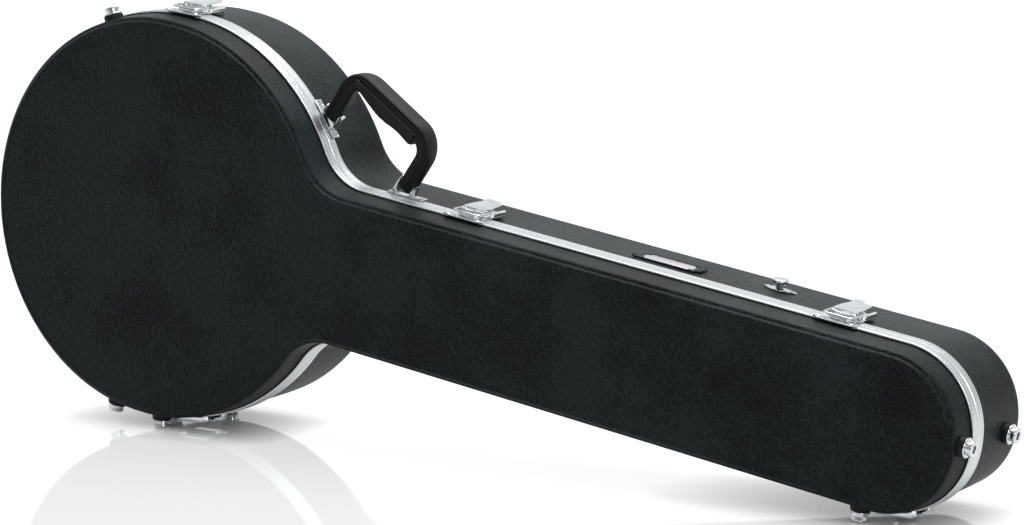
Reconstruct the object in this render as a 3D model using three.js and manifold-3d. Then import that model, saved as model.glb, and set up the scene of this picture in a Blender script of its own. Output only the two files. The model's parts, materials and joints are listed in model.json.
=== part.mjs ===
// Hard-shell case for a long-necked, round-bodied string instrument.
// It stands on its long hinge edge, with the handle and latches on top: the neck runs towards +X,
// the shallow lid half faces -Y and the deep base half lies behind it, towards +Y.
// Lengths are in millimetres and +Z is up.

import * as THREE from 'three';
import { mergeVertices } from 'three/addons/utils/BufferGeometryUtils.js';
import Module from 'manifold-3d';

const wasm = await Module();
wasm.setup();

// Plan outline of the case at its parting line, measured from the body's centre
const bodyRadius = 203;
const bodyStretch = 8;
const neckHalfWidth = 76;
const neckEnd = 901;
const endHalfFlat = 2;
const endRadius = neckHalfWidth - endHalfFlat;
const filletRadius = 56;

// Shells
const lidDepth = 43;
const baseDepth = 93;
const shellWall = 3;
const edgeRound = 11;
const innerRound = 8;
const wallDraft = 2;

// Clearances
const partingGap = 0.4;
const seatGap = 0.3;
const runningGap = 0.4;
const fuseDepth = 0.5;
const cutOverrun = 1;

// Aluminium valance bands, one on each half
const valanceWidth = 10.5;
const valanceWall = 1.6;

// Padded linings
const liningRim = 1.5;
const baseLiningWall = 12;
const lidLiningWall = 9;

// Accessory box and neck cradle, both carried in the neck channel
const boxStart = 242;
const boxLength = 160;
const boxMouth = 24;
const boxWall = 3;
const boxLidWall = 4;
const tabRadius = 11;
const cradleStart = 590;
const cradleLength = 44;
const cradleMouth = 16;
const cradleSlotWidth = 64;
const cradleSlotDepth = 34;

// Sheet hardware, riveted over the valance
const sheetWall = 1.2;
const rivetRadius = 2.4;
const rivetHeight = 1.2;
const rivetDomeShares = { radius: 0.7, low: 0.33, high: 0.8 };
const rivetEdgeShare = 1.3;

// Draw latches: a plate and lever on the base half, a wire loop, and a keeper on the lid half
const latchBodyAngle = 92;
const latchFilletStep = 121;
const latchEndStep = 148;
const latchHalfWidth = 17;
const latchPlateFront = 1.6;
const latchPlateBack = 37;
const latchPivotPlace = 4.5;
const latchPivotHeight = 6.6;
const latchPinRadius = 1.5;
const latchCheekPlace = 8.6;
const latchCheekWall = 1.4;
const latchCheekRadius = 2.4;
const leverHalfWidth = 12;
const leverNoseRadius = 2.9;
const leverFlangeEnd = 21;
const leverEnd = 41;
const leverEndHalfWidth = 10;
const leverCornerRadius = 4;
const leverBackHeight = 11;
const leverLipHeight = 12.8;
const loopPivotPlace = 12;
const loopPivotHeight = 7.4;
const loopBarPlace = 9;
const loopWireRadius = 1.2;
const loopCornerRadius = 4;
const keeperFront = 15.5;
const keeperBack = 1.5;
const keeperEarReach = 23;
const keeperEarPlace = 12;
const keeperLipPlace = 6.2;
const keeperLipHalfWidth = 9;

// Handle and its two brackets
const bracketBodyAngle = 40;
const bracketFilletStep = 39;
const bracketPlace = 11;
const bracketHalfLength = 21;
const bracketHalfWidth = 5.5;
const earWall = 1.6;
const earHalfWidth = 5.5;
const earTip = 5.5;
const handlePinRise = 13;
const handlePinRadius = 2;
const legHalfWidth = 8;
const legHalfDepth = 7;
const gripHeight = 50.5;
const gripHalfThickness = 9.8;
const gripHalfDepth = 13;
const gripSwell = 3.5;
const gripCornerRadius = 21;
const gripSwellShares = [0.15, 0.75, 1];
const gripRoundShare = 0.7;
const legFoot = 5.5;
const legFootShare = 0.75;
const legTopShare = 1.1;
const legRiseShare = 0.6;

// Hinges on the standing edge
const hingeLength = 36;
const hingePinRadius = 0.9;
const hingeKnuckleRadius = 2;
const hingeLeafReach = 20;
const hingeLeafLip = 4.8;
const hingeFootGap = 2;

// Bumper feet: a rubber pad under a chromed cup
const padRadius = 9.8;
const padHeight = 3;
const cupFlangeRadius = 9.4;
const cupFlangeHeight = 1.8;
const cupTipRadius = 7.6;
const cupBoreRadius = 3.6;
const cupBoreDepth = 4;
const cupWaistShare = 0.88;
const padEdgeShare = 0.7;
const footHeight = 11;
const footPlaces = { lid: -25, base: 62 };
const endFootRises = { lid: 4, base: 0 };
const lidFloorAngle = -84.6;
const baseFloorAngle = -79.2;
const neckFootStep = 15;
const bodyTopFootAngle = 113.8;
const bodyLowFootAngle = -98.8;

// Strap post and blank name plate on the base wall
const postPlace = 661;
const postDepthPlace = 50;
const postPlateHalfLength = 18;
const postPlateHalfWidth = 7;
const postStemRadius = 4.4;
const postHeadRadius = 7.8;
const postHeight = 11;
const postFootShare = 1.3;
const postDomeShares = { low: 0.7, high: 0.85, radius: 0.7 };
const namePlatePlace = 549;
const namePlateDepthPlace = 38;
const namePlateHalfLength = 28;
const namePlateHalfWidth = 9.5;
const namePlateNotch = 4;
const namePlateWall = 1;
const nameFrameWidth = 1.6;
const nameFrameEnd = 9;
const nameFrameWall = 1.6;

// Facets along each stretch of the outline, and on round pieces
const bodySideFacets = 10;
const bodyBackFacets = 28;
const filletFacets = 6;
const cornerFacets = 8;
const roundFacets = 4;
const softFacets = 3;
const smallFacets = 14;

const degrees = THREE.MathUtils.degToRad;

// Materials
function finish(color, roughness, metalness) {
  return new THREE.MeshStandardMaterial({ color, roughness, metalness });
}
const blackAbs = finish(0x1b1d1d, 0.5, 0);
const satinAluminium = finish(0xd6d8da, 0.38, 1);
const chrome = finish(0xdfe1e3, 0.12, 1);
const blackRubber = finish(0x0e0e0f, 0.75, 0);
const plush = finish(0x18181b, 0.95, 0);
const platedSteel = finish(0xb4b3b6, 0.4, 1);

// The fillet between body and neck, and the tilt at which both touch one straight hinge edge
const filletHeight = neckHalfWidth + filletRadius;
const filletReach = Math.sqrt((bodyRadius + filletRadius) ** 2 - filletHeight ** 2);
const filletPlace = bodyStretch / 2 + filletReach;
const filletStart = Math.atan2(filletHeight, filletReach);
const cornerPlace = neckEnd - endRadius;
const cornerHeight = neckHalfWidth - endRadius;
const tiltRun = cornerPlace - bodyStretch / 2;
const tilt = Math.asin((bodyRadius - endRadius) / Math.hypot(tiltRun, cornerHeight))
  - Math.atan2(cornerHeight, tiltRun);
const bodyDrop = (bodyStretch / 2) * Math.sin(tilt);
const edgeDistance = bodyDrop + bodyRadius;
const floorDistance = edgeDistance + footHeight;

// Places along the neck, stepped off from where its straight walls begin and end
const latchNeckPlaces = [filletPlace + latchFilletStep, neckEnd - latchEndStep];
const bracketNeckPlace = filletPlace + bracketFilletStep;
const neckFloorPlace = cornerPlace - neckFootStep;

// One arc of the plan outline as points, without its last point
function arcPoints(x, z, radius, from, to, facets) {
  const points = [];
  for (let i = 0; i < facets; i++) {
    const angle = from + (to - from) * i / facets;
    points.push(new THREE.Vector2(x + radius * Math.cos(angle), z + radius * Math.sin(angle)));
  }
  return points;
}

// The plan outline, offset outwards, counter-clockwise from the top fillet round the body
function outlinePoints(offset) {
  const half = bodyStretch / 2;
  const body = bodyRadius + offset;
  const fillet = filletRadius - offset;
  const corner = endRadius + offset;
  const quarter = Math.PI / 2;
  return [
    ...arcPoints(half, 0, body, filletStart, quarter, bodySideFacets),
    ...arcPoints(-half, 0, body, quarter, 3 * quarter, bodyBackFacets),
    ...arcPoints(half, 0, body, 3 * quarter, 4 * quarter - filletStart, bodySideFacets),
    ...arcPoints(filletPlace, -filletHeight, fillet, 2 * quarter - filletStart, quarter, filletFacets),
    new THREE.Vector2(filletPlace, -neckHalfWidth - offset),
    ...arcPoints(cornerPlace, -cornerHeight, corner, -quarter, 0, cornerFacets),
    ...arcPoints(cornerPlace, cornerHeight, corner, 0, quarter, cornerFacets),
    new THREE.Vector2(cornerPlace, neckHalfWidth + offset),
    ...arcPoints(filletPlace, filletHeight, fillet, 3 * quarter, 2 * quarter + filletStart, filletFacets),
  ];
}

// The volume enclosed by a triangle mesh, negative when its faces point inwards
function signedVolume(positions, index) {
  const a = new THREE.Vector3();
  const b = new THREE.Vector3();
  const c = new THREE.Vector3();
  let volume = 0;
  for (let i = 0; i < index.length; i += 3) {
    a.fromArray(positions, 3 * index[i]);
    b.fromArray(positions, 3 * index[i + 1]);
    c.fromArray(positions, 3 * index[i + 2]);
    volume += a.dot(b.cross(c)) / 6;
  }
  return volume;
}

function geometryFrom(positions, index) {
  if (signedVolume(positions, index) < 0) index.reverse();
  const geometry = new THREE.BufferGeometry();
  geometry.setAttribute('position', new THREE.Float32BufferAttribute(positions, 3));
  geometry.setIndex(index);
  return geometry;
}

// Join rings of points that all have the same count: the ends are capped flat, or meet if looped
function ringsGeometry(rings, looped, capFaces) {
  const count = rings[0].length;
  const positions = rings.flat().flatMap((point) => point.toArray());
  const index = [];
  const bands = looped ? rings.length : rings.length - 1;
  for (let band = 0; band < bands; band++) {
    const near = band * count;
    const far = ((band + 1) % rings.length) * count;
    for (let i = 0; i < count; i++) {
      const j = (i + 1) % count;
      index.push(near + i, near + j, far + j, near + i, far + j, far + i);
    }
  }
  if (!looped) {
    const last = (rings.length - 1) * count;
    for (const [a, b, c] of capFaces) {
      index.push(c, b, a, last + a, last + b, last + c);
    }
  }
  return geometryFrom(positions, index);
}

// A body made of plan outlines, one for each [offset, depth] pair
function outlineSolid(levels, looped) {
  const rings = levels.map(([offset, depth]) => (
    outlinePoints(offset).map((point) => new THREE.Vector3(point.x, depth, point.y))
  ));
  return ringsGeometry(rings, looped, THREE.ShapeUtils.triangulateShape(outlinePoints(0), []));
}

// The [offset, depth] levels of one surface of a half, from its open edge to its rounded back
function halfLevels(inset, depth, openEdge, facets) {
  const round = Math.max(edgeRound - inset, innerRound);
  const wallEnd = depth - inset - round;
  const levels = [[-inset, openEdge]];
  for (let i = 0; i <= facets; i++) {
    const angle = (Math.PI / 2) * i / facets;
    levels.push([
      -inset - wallDraft - round * (1 - Math.cos(angle)),
      wallEnd + round * Math.sin(angle),
    ]);
  }
  return levels;
}

// A hollow half between an outer and an inner inset, opening towards the parting line
function halfShell(outerInset, innerInset, depth, openEdge, side) {
  const outer = halfLevels(outerInset, depth, openEdge, outerInset > 0 ? softFacets : roundFacets);
  const inner = halfLevels(innerInset, depth, openEdge, softFacets);
  const levels = [...outer.reverse(), ...inner];
  return outlineSolid(levels.map(([offset, place]) => [offset, side * place]), false);
}

// Booleans
function toSolid(geometry) {
  const bare = geometry.clone();
  bare.deleteAttribute('normal');
  bare.deleteAttribute('uv');
  const merged = mergeVertices(bare);
  return new wasm.Manifold(new wasm.Mesh({
    numProp: 3,
    vertProperties: new Float32Array(merged.attributes.position.array),
    triVerts: new Uint32Array(merged.index.array),
  }));
}

function toGeometry(solid) {
  const mesh = solid.getMesh();
  const geometry = new THREE.BufferGeometry();
  geometry.setAttribute('position', new THREE.Float32BufferAttribute(mesh.vertProperties, 3));
  geometry.setIndex(Array.from(mesh.triVerts));
  return geometry;
}

function join(...geometries) {
  return toGeometry(geometries.map(toSolid).reduce((whole, piece) => whole.add(piece)));
}

function cut(geometry, ...tools) {
  return toGeometry(tools.map(toSolid).reduce((rest, tool) => rest.subtract(tool), toSolid(geometry)));
}

function overlapOf(first, second) {
  return toGeometry(toSolid(first).intersect(toSolid(second)));
}

// A box between two corners
function boxBetween(x0, y0, z0, x1, y1, z1) {
  const box = new THREE.BoxGeometry(x1 - x0, y1 - y0, z1 - z0);
  return box.translate((x0 + x1) / 2, (y0 + y1) / 2, (z0 + z1) / 2);
}

// A cylinder or a turned profile along X or Z
function rodAlongX(radius, x0, x1, y, z, facets) {
  const rod = new THREE.CylinderGeometry(radius, radius, x1 - x0, facets);
  return rod.rotateZ(Math.PI / 2).translate((x0 + x1) / 2, y, z);
}

function turnedAlongZ(profile, facets) {
  const points = profile.map(([radius, height]) => new THREE.Vector2(radius, height));
  return new THREE.LatheGeometry(points, facets).rotateX(Math.PI / 2);
}

// A flat shape in the X-Y plane raised along Z
function plateFrom(shape, z0, z1, facets = cornerFacets) {
  const options = { depth: z1 - z0, bevelEnabled: false, curveSegments: facets };
  return new THREE.ExtrudeGeometry(shape, options).translate(0, 0, z0);
}

// A profile in the Y-Z plane, extruded along X
function barAlongX(shape, x0, x1, facets = cornerFacets) {
  const options = { depth: x1 - x0, bevelEnabled: false, curveSegments: facets };
  const bar = new THREE.ExtrudeGeometry(shape, options);
  const axes = new THREE.Matrix4().makeBasis(
    new THREE.Vector3(0, 1, 0),
    new THREE.Vector3(0, 0, 1),
    new THREE.Vector3(1, 0, 0),
  );
  return bar.applyMatrix4(axes).translate(x0, 0, 0);
}

function shapeOf(points) {
  return new THREE.Shape(points.map(([x, y]) => new THREE.Vector2(x, y)));
}

// The same piece on the other side of the parting plane
function mirroredInDepth(geometry) {
  const copy = geometry.clone().scale(1, -1, 1);
  copy.setIndex(Array.from(copy.index.array).reverse());
  return copy;
}

// A domed rivet head whose rim is sunk a little into the sheet below it
function rivetAt(x, y, z) {
  const rim = z - fuseDepth;
  const dome = turnedAlongZ([
    [0, rim],
    [rivetRadius, rim],
    [rivetRadius, z + rivetHeight * rivetDomeShares.low],
    [rivetRadius * rivetDomeShares.radius, z + rivetHeight * rivetDomeShares.high],
    [0, z + rivetHeight],
  ], cornerFacets);
  return dome.translate(x, y, 0);
}

// The case group stands tilted so that its hinge edge is level
const caseGroup = new THREE.Group();
caseGroup.rotation.y = tilt;

function add(group, name, geometry, material) {
  const mesh = new THREE.Mesh(geometry, material);
  mesh.name = name;
  group.add(mesh);
}

// A group on the outer wall: X runs along the wall, Y is the case's depth and Z points outwards
function wallGroup(x, z, normalAngle) {
  const group = new THREE.Group();
  group.position.set(x, 0, z);
  group.rotation.y = Math.PI / 2 - normalAngle;
  caseGroup.add(group);
  return group;
}

function bodyWall(angle) {
  const turn = degrees(angle);
  const centre = Math.sign(Math.cos(turn)) * bodyStretch / 2;
  return wallGroup(centre + bodyRadius * Math.cos(turn), bodyRadius * Math.sin(turn), turn);
}

function neckWall(place, side = 1) {
  return wallGroup(place, side * neckHalfWidth, side * Math.PI / 2);
}

function endWall(rise) {
  return wallGroup(neckEnd, rise, 0);
}

// How far a half's drafted wall has fallen back, so far from the parting plane
const halfDepths = { base: baseDepth, lid: lidDepth };
function wallFall(half, place) {
  return wallDraft * Math.abs(place) / (halfDepths[half] - edgeRound);
}

// Trim the underside of a piece to the drafted wall and rounded edge that it sits on
function seatedOnWall(geometry, group, half) {
  const side = half === 'base' ? 1 : -1;
  const surface = halfLevels(0, halfDepths[half], 0, roundFacets);
  const wall = outlineSolid(surface.map(([offset, place]) => [offset + seatGap, side * place]), false);
  group.updateMatrix();
  return cut(geometry, wall.applyMatrix4(group.matrix.clone().invert()));
}

// Shells, valances and linings
const liningInset = shellWall + seatGap;
const baseLiningInset = liningInset + baseLiningWall;
const lidLiningInset = liningInset + lidLiningWall;
const halfGap = partingGap / 2;

add(caseGroup, 'base_shell', halfShell(0, shellWall, baseDepth, halfGap, 1), blackAbs);
add(caseGroup, 'lid_shell', halfShell(0, shellWall, lidDepth, halfGap, -1), blackAbs);

function valance(side) {
  const inner = seatGap;
  const outer = seatGap + valanceWall;
  return outlineSolid([
    [inner, side * halfGap],
    [outer, side * halfGap],
    [outer, side * valanceWidth],
    [inner, side * valanceWidth],
  ], true);
}
add(caseGroup, 'base_valance', valance(1), satinAluminium);
add(caseGroup, 'lid_valance', valance(-1), satinAluminium);

add(caseGroup, 'base_lining', halfShell(liningInset, baseLiningInset, baseDepth, liningRim, 1), plush);
add(caseGroup, 'lid_lining', halfShell(liningInset, lidLiningInset, lidDepth, liningRim, -1), plush);

// Furniture of the neck channel: its cross-section clears the lining's rounded floor corners
const channelFloor = baseDepth - baseLiningInset - seatGap;
const channelHalfWidth = neckHalfWidth - baseLiningInset - wallDraft - seatGap;

function channelProfile(halfWidth, mouth, floor, chamfer) {
  return shapeOf([
    [mouth, -halfWidth],
    [mouth, halfWidth],
    [floor - chamfer, halfWidth],
    [floor, halfWidth - chamfer],
    [floor, chamfer - halfWidth],
    [floor - chamfer, -halfWidth],
  ]);
}

function accessoryBox() {
  const outer = channelProfile(channelHalfWidth, boxMouth, channelFloor, innerRound);
  const inner = channelProfile(
    channelHalfWidth - boxWall,
    boxMouth - cutOverrun,
    channelFloor - boxWall,
    innerRound,
  );
  return cut(
    barAlongX(outer, boxStart, boxStart + boxLength),
    barAlongX(inner, boxStart + boxWall, boxStart + boxLength - boxWall),
  );
}
add(caseGroup, 'accessory_box', accessoryBox(), plush);

function accessoryLid() {
  const low = boxMouth - seatGap - boxLidWall;
  const high = boxMouth - seatGap;
  const panel = boxBetween(boxStart, low, -channelHalfWidth, boxStart + boxLength, high, channelHalfWidth);
  const tab = new THREE.CylinderGeometry(tabRadius, tabRadius, sheetWall, smallFacets);
  tab.translate(boxStart + boxLength, low + boxLidWall / 2, 0);
  return join(panel, tab);
}
add(caseGroup, 'accessory_box_lid', accessoryLid(), plush);

function neckCradle() {
  const half = cradleSlotWidth / 2;
  const slotFloor = cradleMouth + cradleSlotDepth;
  const block = barAlongX(
    channelProfile(channelHalfWidth, cradleMouth, channelFloor, innerRound),
    cradleStart,
    cradleStart + cradleLength,
  );
  const slot = new THREE.Shape();
  slot.moveTo(cradleMouth - cutOverrun, -half);
  slot.lineTo(slotFloor - half / 2, -half);
  slot.quadraticCurveTo(slotFloor, -half, slotFloor, 0);
  slot.quadraticCurveTo(slotFloor, half, slotFloor - half / 2, half);
  slot.lineTo(cradleMouth - cutOverrun, half);
  const tool = barAlongX(slot, cradleStart - cutOverrun, cradleStart + cradleLength + cutOverrun, roundFacets);
  return cut(block, tool);
}
add(caseGroup, 'neck_cradle', neckCradle(), plush);

// Sheet hardware lies over the valance
const sheetBottom = seatGap + valanceWall + seatGap;
const sheetTop = sheetBottom + sheetWall;

function latchPlate() {
  const half = latchHalfWidth;
  const shoulder = valanceWidth + sheetWall;
  const plate = plateFrom(shapeOf([
    [-half, shoulder],
    [-half + sheetWall, latchPlateFront],
    [half - sheetWall, latchPlateFront],
    [half, shoulder],
    [half, latchPlateBack - rivetRadius],
    [half - rivetRadius, latchPlateBack],
    [-half + rivetRadius, latchPlateBack],
    [-half, latchPlateBack - rivetRadius],
  ]), sheetBottom, sheetTop);
  const skirtFront = valanceWidth + runningGap;
  const skirt = boxBetween(-half, skirtFront, seatGap, half, skirtFront + sheetWall, sheetBottom + fuseDepth);
  const backSkirt = boxBetween(
    rivetRadius - half,
    latchPlateBack - sheetWall,
    seatGap,
    half - rivetRadius,
    latchPlateBack,
    sheetBottom + fuseDepth,
  );
  const cheek = new THREE.Shape();
  cheek.moveTo(latchPivotPlace - latchCheekRadius, sheetTop - fuseDepth);
  cheek.lineTo(latchPivotPlace - latchCheekRadius, latchPivotHeight);
  cheek.absarc(latchPivotPlace, latchPivotHeight, latchCheekRadius, Math.PI, 0, true);
  cheek.lineTo(latchPivotPlace + latchCheekRadius, sheetTop - fuseDepth);
  const cheekOuter = latchCheekPlace + latchCheekWall;
  const right = barAlongX(cheek, latchCheekPlace, cheekOuter, roundFacets);
  const left = barAlongX(cheek, -cheekOuter, -latchCheekPlace, roundFacets);
  const pinReach = leverHalfWidth + fuseDepth;
  const pin = rodAlongX(latchPinRadius, -pinReach, pinReach, latchPivotPlace, latchPivotHeight, smallFacets);
  const rivetPlace = half - rivetEdgeShare * rivetRadius;
  const rivets = [-1, 1].flatMap((side) => [
    rivetAt(side * rivetPlace, latchPlateBack - 2 * rivetRadius, sheetTop),
    rivetAt(side * rivetPlace, shoulder + 2 * rivetRadius, sheetTop),
  ]);
  return join(plate, skirt, backSkirt, right, left, pin, ...rivets);
}

// The lever seen from above: it narrows towards its end, whose corners are round
function leverPlan() {
  const corner = leverCornerRadius;
  const reach = leverEnd + sheetWall;
  const plan = new THREE.Shape();
  plan.moveTo(-leverHalfWidth, 0);
  plan.lineTo(leverHalfWidth, 0);
  plan.lineTo(leverHalfWidth, leverFlangeEnd);
  plan.lineTo(leverEndHalfWidth, reach - corner);
  plan.absarc(leverEndHalfWidth - corner, reach - corner, corner, 0, Math.PI / 2, false);
  plan.absarc(corner - leverEndHalfWidth, reach - corner, corner, Math.PI / 2, Math.PI, false);
  plan.lineTo(-leverHalfWidth, leverFlangeEnd);
  return plan;
}

function latchLever() {
  const noseTop = latchPivotHeight + latchCheekRadius + runningGap + sheetWall;
  const bend = (leverFlangeEnd + leverEnd) / 2;
  const top = new THREE.Shape();
  top.moveTo(latchPivotPlace, noseTop - sheetWall);
  top.lineTo(latchPivotPlace, noseTop);
  top.lineTo(bend, leverBackHeight);
  const curl = (bend + leverEnd) / 2;
  const underside = leverBackHeight - sheetWall;
  top.quadraticCurveTo(curl, leverBackHeight, leverEnd, leverLipHeight);
  top.lineTo(leverEnd + sheetWall / 2, leverLipHeight - sheetWall);
  top.quadraticCurveTo(curl, underside, bend, underside);
  const bar = barAlongX(top, -leverHalfWidth, leverHalfWidth, roundFacets);
  const plate = overlapOf(bar, plateFrom(leverPlan(), 0, leverLipHeight + cutOverrun, roundFacets));
  const flange = new THREE.Shape();
  const nose = leverNoseRadius - sheetWall / 4;
  const quarter = Math.PI / 2;
  flange.moveTo(latchPivotPlace, noseTop - sheetWall / 2);
  flange.absarc(latchPivotPlace, latchPivotHeight, nose, quarter, 3 * quarter, false);
  flange.lineTo(leverFlangeEnd - leverNoseRadius, latchPivotHeight - leverNoseRadius / 2);
  flange.lineTo(leverFlangeEnd, noseTop);
  for (const [place, height, radius] of [
    [latchPivotPlace, latchPivotHeight, latchPinRadius + runningGap],
    [loopPivotPlace, loopPivotHeight, loopWireRadius + runningGap],
  ]) {
    const hole = new THREE.Path();
    hole.absarc(place, height, radius, 0, 2 * Math.PI, true);
    flange.holes.push(hole);
  }
  const inner = leverHalfWidth - sheetWall;
  return join(
    plate,
    barAlongX(flange, inner, leverHalfWidth, roundFacets),
    barAlongX(flange, -leverHalfWidth, -inner, roundFacets),
  );
}

// The loop is one bent wire: two inward ends in the lever and a bar over the keeper's lip
function latchLoop() {
  const side = leverHalfWidth + runningGap + 2 * loopWireRadius;
  const inner = latchCheekPlace + latchCheekWall + runningGap;
  const tuck = 2 * loopWireRadius;
  const corner = loopCornerRadius;
  const point = (x, y) => new THREE.Vector3(x, y, loopPivotHeight);
  const bend = (a, b, c) => new THREE.QuadraticBezierCurve3(a, b, c).getPoints(softFacets);
  const half = [
    point(inner, loopPivotPlace),
    ...bend(
      point(side - tuck, loopPivotPlace),
      point(side, loopPivotPlace),
      point(side, loopPivotPlace - tuck),
    ),
    ...bend(
      point(side, corner - loopBarPlace),
      point(side, -loopBarPlace),
      point(side - corner, -loopBarPlace),
    ),
  ];
  const other = half.map((place) => new THREE.Vector3(-place.x, place.y, place.z)).reverse();
  return wireGeometry([...half, ...other], loopWireRadius);
}

// A round wire along a route that lies level, with mitred bends
function wireGeometry(route, radius) {
  const up = new THREE.Vector3(0, 0, 1);
  const facets = cornerFacets;
  const rings = route.map((place, i) => {
    const before = route[Math.max(i - 1, 0)];
    const after = route[Math.min(i + 1, route.length - 1)];
    const side = new THREE.Vector3().subVectors(after, before).normalize().cross(up);
    return Array.from({ length: facets }, (_, k) => {
      const angle = 2 * Math.PI * k / facets;
      return place.clone()
        .addScaledVector(side, radius * Math.cos(angle))
        .addScaledVector(up, radius * Math.sin(angle));
    });
  });
  const flat = Array.from({ length: facets }, (_, k) => {
    const angle = 2 * Math.PI * k / facets;
    return new THREE.Vector2(Math.cos(angle), Math.sin(angle));
  });
  return ringsGeometry(rings, false, THREE.ShapeUtils.triangulateShape(flat, []));
}

function latchKeeper() {
  const waist = latchHalfWidth;
  const plate = plateFrom(shapeOf([
    [-waist, -keeperFront],
    [waist, -keeperFront],
    [keeperEarReach, -keeperEarPlace],
    [waist, -keeperBack],
    [-waist, -keeperBack],
    [-keeperEarReach, -keeperEarPlace],
  ]), sheetBottom, sheetTop);
  const skirtBack = -valanceWidth - runningGap;
  const skirt = boxBetween(-waist, skirtBack - sheetWall, seatGap, waist, skirtBack, sheetBottom + fuseDepth);
  const lipTop = loopPivotHeight - loopWireRadius - runningGap;
  const lip = boxBetween(
    -keeperLipHalfWidth,
    -keeperLipPlace,
    sheetTop - fuseDepth,
    keeperLipHalfWidth,
    sheetWall - keeperLipPlace,
    lipTop,
  );
  const rivets = [-1, 1].map((side) => rivetAt(side * waist, -keeperEarPlace, sheetTop));
  return join(plate, skirt, lip, ...rivets);
}

const latchWalls = [bodyWall(latchBodyAngle), ...latchNeckPlaces.map((place) => neckWall(place))];
latchWalls.forEach((group, i) => {
  const number = i + 1;
  add(group, `latch_${number}_plate`, latchPlate(), chrome);
  add(group, `latch_${number}_lever`, latchLever(), chrome);
  add(group, `latch_${number}_loop`, latchLoop(), chrome);
  add(group, `latch_${number}_keeper`, latchKeeper(), chrome);
});

// The handle's pins lie on one line, from the bracket on the body to the bracket on the neck
const pinDistance = bodyRadius + handlePinRise;
const bodyPin = new THREE.Vector2(
  bodyStretch / 2 + pinDistance * Math.cos(degrees(bracketBodyAngle)),
  pinDistance * Math.sin(degrees(bracketBodyAngle)),
);
const neckPin = new THREE.Vector2(bracketNeckPlace, neckHalfWidth + handlePinRise);
const pinMiddle = bodyPin.clone().add(neckPin).divideScalar(2);
const pinSpan = neckPin.distanceTo(bodyPin);
const pinSlope = Math.atan2(bodyPin.y - neckPin.y, neckPin.x - bodyPin.x);

// Handle frame: X along the pins, Z outwards from the case and Y in the case's depth
const handleGroup = new THREE.Group();
handleGroup.position.set(pinMiddle.x, bracketPlace, pinMiddle.y);
handleGroup.rotation.y = pinSlope;
caseGroup.add(handleGroup);

// The stations of the handle: place along its centre line, with its half thickness and half depth
function handleStations() {
  const leg = pinSpan / 2;
  const bend = gripCornerRadius;
  const lean = leg - legHalfWidth / 4;
  const corner = gripHeight - bend;
  const topHalfWidth = legHalfWidth * legTopShare;
  const topHalfDepth = legHalfDepth * legTopShare;
  const half = [
    [-leg, -legFoot, legHalfWidth * legFootShare, legHalfDepth * legFootShare],
    [-leg, -legFoot / 2, legHalfWidth, legHalfDepth],
    [-leg, legFoot, legHalfWidth, legHalfDepth],
    [-leg - legHalfWidth / 8, corner * legRiseShare, topHalfWidth, topHalfDepth],
  ];
  for (let i = 0; i <= roundFacets; i++) {
    const angle = (Math.PI / 2) * i / roundFacets;
    const share = i / roundFacets;
    half.push([
      bend - lean - bend * Math.cos(angle),
      corner + bend * Math.sin(angle),
      topHalfWidth + (gripHalfThickness - topHalfWidth) * share,
      topHalfDepth + (gripHalfDepth - topHalfDepth) * share,
    ]);
  }
  const gripStart = lean - bend;
  const middle = gripSwellShares.map((swell, i) => {
    const place = -gripStart * (1 - (i + 1) / gripSwellShares.length);
    return [place, gripHeight - swell * gripSwell / 2, gripHalfThickness + swell * gripSwell / 2, gripHalfDepth];
  });
  const left = [...half, ...middle];
  const right = left.slice(0, -1).reverse().map(([x, z, thickness, depth]) => [-x, z, thickness, depth]);
  return [...left, ...right];
}

function handleGrip() {
  const stations = handleStations();
  const facets = 2 * roundFacets + 4;
  const rings = stations.map(([x, z, thickness, depth], i) => {
    const [beforeX, beforeZ] = stations[Math.max(i - 1, 0)];
    const [afterX, afterZ] = stations[Math.min(i + 1, stations.length - 1)];
    const along = new THREE.Vector2(afterX - beforeX, afterZ - beforeZ).normalize();
    return Array.from({ length: facets }, (_, k) => {
      const angle = 2 * Math.PI * k / facets;
      const round = (value) => Math.sign(value) * Math.abs(value) ** gripRoundShare;
      const out = thickness * round(Math.cos(angle));
      return new THREE.Vector3(x - along.y * out, depth * round(Math.sin(angle)), z + along.x * out);
    });
  });
  const flat = Array.from({ length: facets }, (_, k) => {
    const angle = 2 * Math.PI * k / facets;
    return new THREE.Vector2(Math.cos(angle), Math.sin(angle));
  });
  const grip = ringsGeometry(rings, false, THREE.ShapeUtils.triangulateShape(flat, []));
  const reach = legHalfWidth + cutOverrun;
  const bores = [-1, 1].map((side) => (
    rodAlongX(
      handlePinRadius + runningGap,
      side * pinSpan / 2 - reach,
      side * pinSpan / 2 + reach,
      0,
      0,
      smallFacets,
    )
  ));
  return cut(grip, ...bores);
}
add(handleGroup, 'handle', handleGrip(), blackRubber);

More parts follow.
